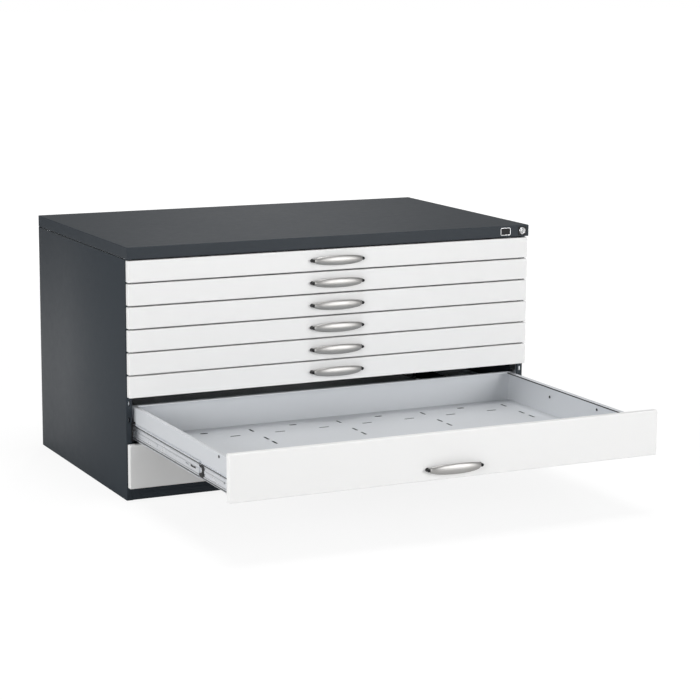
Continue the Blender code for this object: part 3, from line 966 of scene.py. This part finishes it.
def makeSlides():
    trayLow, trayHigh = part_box("drawer_tray_1")
    memberLow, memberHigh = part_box("slide_member_right_1")
    rackLow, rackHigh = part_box("slide_rack_right")
    centre = (memberLow.z + memberHigh.z) / 2
    half = (memberHigh.z - memberLow.z) / 2
    play = slideShape["play"]
    back = memberHigh.x
    inner = traySize(1)[1].x
    outline = raceOutline(memberLow.x, back + play, half + play, centre)
    outer = makeSlideMember("outerMember", outline, rackLow.y, rackHigh.y)
    start = memberLow.y + catchShape["length"]
    outline = raceOutline(memberLow.x, back, half, centre)
    middle = makeSlideMember("middleMember", outline, start, memberHigh.y,
                             [(place, 0) for place in slideShape["middleHoles"]], [slideShape["middleSlot"]])
    gap = slideShape["cageEnd"]
    cageShadeStrips = makeCageShadeStrips("ballCageShadeStrips", back, centre, start, memberHigh.y - gap)
    start = trayLow.y + slideShape["railStart"]
    end = start + slideShape["railLong"]
    outline = raceOutline(inner - slideShape["railSunk"], trayHigh.x, half - play, centre)
    rail = makeSlideMember("drawerMember", outline, start, end, slideShape["drawerHoles"])
    railCageShadeStrips = makeCageShadeStrips("railCageShadeStrips", trayHigh.x, centre, start + gap, end - gap)
    catch = makeCatch(memberLow.y, centre, back)
    guard = makeGuard(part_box("side_panel_right")[0].y - slideShape["guardGap"], centre)
    for number in drawerNumbers:
        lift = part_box(f"slide_member_right_{number}")[0] - memberLow
        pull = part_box(f"drawer_tray_{number}")[0] - trayLow
        up = Vector((0, 0, lift.z))
        for side in ("left", "right"):
            label = side.title() + str(number)
            for model, shift, paint, body, nodes in (
                    (outer, up, zinc, "cabinet", ()),
                    (guard, up, darkMouldAndShade, "cabinet", ()),
                    (middle, lift, zinc, f"slides_{number}", (f"slide_member_{side}_{number}",)),
                    (cageShadeStrips, lift, darkSteelAndShade, f"slides_{number}", ()),
                    (catch, lift, darkMouldAndShade, f"slides_{number}", ()),
                    (railCageShadeStrips, Vector((0, pull.y, lift.z)), darkSteelAndShade, f"drawer_{number}", ()),
                    (rail, Vector((0, pull.y, lift.z)), zinc, f"drawer_{number}", ())):
                twin = copied(model, model.name + label, shift)
                if side == "left":
                    mirrored(twin)
                finish(twin, paint, "slide", body, *nodes)
    for model in (outer, guard, middle, cageShadeStrips, catch, rail, railCageShadeStrips):
        bpy.data.objects.remove(model)


makeSlides()
print("slides placed")


# posts that carry the slides

postShape = {
    "width": 0.040, "reach": 0.019, "sheet": 0.0015, "fold": 0.0020, "slot": (0.020, 0.006),
    "slotPitch": 0.03425, "slotShift": 0.006,
}


def makePosts():
    low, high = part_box("slide_rack_right")
    inner = high.x - postShape["reach"]
    count = int((high.z - low.z) / postShape["slotPitch"]) - 1
    posts = []
    for start in (low.y, high.y - postShape["width"]):
        end = start + postShape["width"]
        middle = (start + end) / 2 + postShape["slotShift"]
        corners = ((high.x, start, low.z), (inner, start, low.z), (inner, end, low.z), (high.x, end, low.z))
        post = drawnStrip("post", corners, (0, 0, high.z - low.z), postShape["fold"], postShape["sheet"],
                          (0, 1, 0))
        cutters = []
        for step in range(count):
            z = low.z + postShape["slotPitch"] * (step + 1)
            for spot, axis in (((inner, middle, z), "X"), (((inner + high.x) / 2, start, z), "Y")):
                cutters.append(slotCutter("postSlot", spot, *postShape["slot"], axis, (0, 0, 1)))
        cutAway(post, cutters)
        evenShade(post)
        posts.append(post)
    right = joined(posts, "postsRight")
    left = mirrored(copied(right, "postsLeft"))
    finish(right, zinc, "slide", "cabinet", "slide_rack_right")
    finish(left, zinc, "slide", "cabinet", "slide_rack_left")


makePosts()
print("posts placed")


# lock and plain plate

lockShape = {
    "plate": (0.030, 0.027), "plateRise": 0.0008, "plateCorner": 0.003, "plateRound": 0.0002,
    "seat": 0.0001, "rim": 0.022,
    "rimCover": 0.003,  # how much wider the rim is than the plate's hole
    "rimFront": 0.0023, "rimRound": 0.0007, "sleeve": 0.0165, "sleeveLap": 0.001, "play": 0.0007,
    "boreLong": 0.080, "barrel": 0.0118, "barrelRound": 0.0005, "keyway": (0.0014, 0.0076),
    "keywayDeep": 0.006, "disc": (0.028, 0.0032), "discGap": 0.0003, "discLap": 0.0001,
    "discRound": 0.0004, "pin": 0.004, "pinArm": 0.0095, "pinStart": 0.002, "pinTurn": 45.0,
}
badgeShape = {
    "middle": 0.0610, "size": (0.036, 0.024), "rise": 0.0014, "corner": 0.0045, "frame": 0.0016,
    "slope": 0.0004, "sink": 0.0005, "round": 0.0002,
}


def roundedPlate(name, middle, size, front, back, corner):
    plate = addBox(name, (middle.x - size[0] / 2, front, middle.z - size[1] / 2),
                   (middle.x + size[0] / 2, back, middle.z + size[1] / 2))
    choose(plate, "EDGE", lambda bar: abs(bar.verts[0].co.y - bar.verts[1].co.y) > (back - front) / 2)
    bpy.ops.mesh.bevel(offset=corner, segments=8, affect="EDGES")
    leaveEdit()
    return plate


def lockRod(name, middle, front, back, across, corners=48):
    return addRod(name, (middle.x, (front + back) / 2, middle.z), across, back - front, "Y", corners=corners)


def makeLockRim(middle, face, housingBack):
    plateFront = face - lockShape["plateRise"]
    seat = face + lockShape["seat"]
    plate = roundedPlate("lockPlate", middle, lockShape["plate"], plateFront, seat, lockShape["plateCorner"])
    softEdges(plate, lockShape["plateRound"], steps=2, degrees=50)
    hole = lockShape["rim"] - lockShape["rimCover"]
    cutAway(plate, [addRod("plateHole", (middle.x, face, middle.z), hole, cutterDeep, "Y")])
    evenShade(plate)
    finish(plate, darkMouldAndShade, "lock", "cabinet")
    rim = lockRod("lockRim", middle, face - lockShape["rimFront"], plateFront, lockShape["rim"])
    addOn(rim, lockRod("sleeve", middle, face - lockShape["sleeveLap"], housingBack, lockShape["sleeve"]))
    bore = lockShape["barrel"] + lockShape["play"]
    reach = lockShape["boreLong"] / 2
    cutAway(rim, [lockRod("bore", middle, face - reach, face + reach, bore)])
    softEdges(rim, lockShape["rimRound"], degrees=50)
    evenShade(rim, 40)
    finish(rim, chrome, "lock", "cabinet", "lock_housing")


def makeLockBarrel(middle, housingBack):
    low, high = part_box("lock_barrel")
    discFront = housingBack + lockShape["discGap"]
    barrel = lockRod("lockBarrel", middle, low.y, discFront, lockShape["barrel"])
    softEdges(barrel, lockShape["barrelRound"], degrees=50)
    wide, tall = lockShape["keyway"]
    reach = Vector((wide / 2, lockShape["keywayDeep"], tall / 2))
    spot = Vector((middle.x, low.y, middle.z))
    cutAway(barrel, [addBox("keyway", spot - reach, spot + reach)])
    across, thick = lockShape["disc"]
    start = discFront - lockShape["discLap"]
    disc = lockRod("disc", middle, start, start + thick, across)
    softEdges(disc, lockShape["discRound"], steps=2, degrees=50)
    addOn(barrel, disc)
    arm = lockShape["pinArm"] * math.cos(math.radians(lockShape["pinTurn"]))
    pinStart = discFront + lockShape["pinStart"]
    addOn(barrel, lockRod("pin", middle + Vector((arm, 0, -arm)), pinStart, high.y, lockShape["pin"], 24))
    evenShade(barrel, 40)
    finish(barrel, chrome, "lock", "lock_cam", "lock_barrel")


def makePlainPlate(middle, face):
    # a framed plate without any mark
    place = Vector((middle.x - badgeShape["middle"], face, middle.z))
    seat = face + lockShape["seat"]
    plain = roundedPlate("plainPlate", place, badgeShape["size"], face - badgeShape["rise"], seat,
                         badgeShape["corner"])
    inFront = facing(0, -1, 0)
    choose(plain, "FACE", inFront)
    inset(badgeShape["frame"])
    inset(badgeShape["slope"])
    shiftChosen(0, badgeShape["sink"], 0)
    softEdges(plain, badgeShape["round"], steps=2, degrees=25)
    evenShade(plain)
    finish(plain, aluminium, "handle", "cabinet")
    plain.data.materials.append(darkMouldAndShade)
    sunk = face - badgeShape["sink"] * 2
    choose(plain, "FACE", lambda side: inFront(side) and side.calc_center_median().y > sunk)
    plain.active_material_index = 1
    bpy.ops.object.material_slot_assign()
    leaveEdit()


lockLow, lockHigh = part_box("lock_housing")
lockMiddle = (lockLow + lockHigh) / 2
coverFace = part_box("top_cover")[0].y
makeLockRim(lockMiddle, coverFace, lockHigh.y)
makeLockBarrel(lockMiddle, lockHigh.y)
makePlainPlate(lockMiddle, coverFace)
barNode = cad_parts["lock_bar"]
barNode.data.materials.clear()
barNode.data.materials.append(zinc)
print("lock made")


# floor, light and camera

studio = {
    "floorSize": 90.0, "floorDrop": 0.0004, "floorColour": (0.62, 0.62, 0.62, 1), "floorRough": 0.9,
    "floorSpecular": 0.1, "glowNear": 0.74, "glowFrom": 2.5, "glowTo": 8.0, "floorStrength": 1.18,
    # a ring of floor that glows only in what shiny faces reflect, a painted reflection: where it starts, is
    # full and ends
    "poolRing": (0.5, 1.9, 2.6, 5.2), "poolShare": 0.5, "worldLight": 0.17, "worldShine": 0.28,
    "aim": (0.0, -0.4, 0.35),
}
lamps = {
    "frontLight": {"place": (2.4, -5.6, 1.5), "size": 2.5, "power": 137.0},
    "frontLeftLight": {"place": (-4.2, -3.6, 1.3), "size": 1.8, "power": 90.0},
    "leftLight": {"place": (-6.0, 0.3, 1.6), "size": 2.0, "power": 107.0},
    "overheadLight": {"place": (0.0, -0.8, 5.5), "size": 3.0, "power": 158.0},
    "rearLight": {"place": (2.2, 5.0, 2.4), "size": 1.8, "power": 3.8},
    "lowRearLight": {"place": (2.0, 5.0, 0.42), "size": 0.6, "power": 150.0},
    "lowRightLight": {"place": (5.2, 1.6, 0.42), "size": 0.6, "power": 150.0},
}


def makeFloor():
    bpy.ops.mesh.primitive_plane_add(size=studio["floorSize"], location=(0, 0, -studio["floorDrop"]))
    floor = rename(bpy.context.active_object, "floor")
    material, tree, shader = newMaterial("paleFloor")
    shader.inputs["Base Color"].default_value = studio["floorColour"]
    shader.inputs["Roughness"].default_value = studio["floorRough"]
    shader.inputs["Specular IOR Level"].default_value = studio["floorSpecular"]
    glow = addNode(tree, "Emission", {"Color": (1, 1, 1, 1), "Strength": studio["floorStrength"]})
    rays = addNode(tree, "LightPath").outputs
    place = addNode(tree, "TexCoord").outputs["Object"]
    away = addNode(tree, "VectorMath", {0: place}, operation="LENGTH").outputs["Value"]
    glowing = mapRange(tree, {"Value": away, "From Min": studio["glowFrom"], "From Max": studio["glowTo"],
                              "To Min": studio["glowNear"], "To Max": 1.0})
    # the glowing ring is painted reflection, seen only by glossy rays
    start, full, last, end = studio["poolRing"]
    rising = mapRange(tree, {"Value": away, "From Min": start, "From Max": full})
    falling = mapRange(tree, {"Value": away, "From Min": end, "From Max": last})
    shineGlow = times(tree, times(tree, rising, falling), studio["poolShare"])
    share = added(tree, times(tree, rays["Is Camera Ray"], glowing), times(tree, rays["Is Glossy Ray"], shineGlow))
    mixed = addNode(tree, "MixShader", {0: share, 1: shader.outputs[0], 2: glow.outputs[0]})
    tree.links.new(mixed.outputs[0], tree.nodes["Material Output"].inputs["Surface"])
    floor.data.materials.append(material)


def makeWorld():
    # white to the camera, dim as light, a little brighter in what shines
    world = bpy.data.worlds.new("studio")
    bpy.context.scene.world = world
    world.use_nodes = True
    tree = world.node_tree
    back = tree.nodes["Background"].inputs
    rays = addNode(tree, "LightPath").outputs
    clear = mathNode(tree, "MAXIMUM", rays["Is Camera Ray"], rays["Is Transmission Ray"])
    dim = mapRange(tree, {"Value": rays["Is Glossy Ray"], "To Min": studio["worldLight"],
                          "To Max": studio["worldShine"]})
    back["Color"].default_value = (1, 1, 1, 1)
    tree.links.new(mapRange(tree, {"Value": clear, "To Min": dim, "To Max": 1.0}), back["Strength"])


def makeLamps():
    for name, values in lamps.items():
        place = Vector(values["place"])
        bpy.ops.object.light_add(type="AREA", location=place)
        lamp = bpy.context.active_object
        lamp.name = name
        lamp.data.shape = "DISK"
        lamp.data.size = values["size"]
        lamp.data.energy = values["power"]
        lamp.visible_camera = False
        lamp.rotation_euler = (Vector(studio["aim"]) - place).to_track_quat("-Z", "Y").to_euler()


cameraView = {
    "place": (-2.777, -6.164, 1.613), "yaw": 26.19, "pitch": 10.70, "roll": 0.44, "lens": 109.13,
    "sensor": 36.0, "far": 200.0,
}


def makeCamera():
    yaw, pitch, roll = (math.radians(cameraView[word]) for word in ("yaw", "pitch", "roll"))
    level = Euler((math.pi / 2 - pitch, 0, -yaw)).to_matrix()
    bpy.ops.object.camera_add(location=cameraView["place"])
    camera = bpy.context.active_object
    camera.rotation_euler = (level @ Matrix.Rotation(roll, 3, "Z")).to_euler()
    camera.data.sensor_width = cameraView["sensor"]
    camera.data.lens = cameraView["lens"]
    camera.data.clip_end = cameraView["far"]
    bpy.context.scene.camera = camera


makeFloor()
makeWorld()
makeLamps()
makeCamera()
bpy.context.scene.view_settings.view_transform = "Standard"
bpy.ops.object.select_all(action="DESELECT")
print("studio ready")
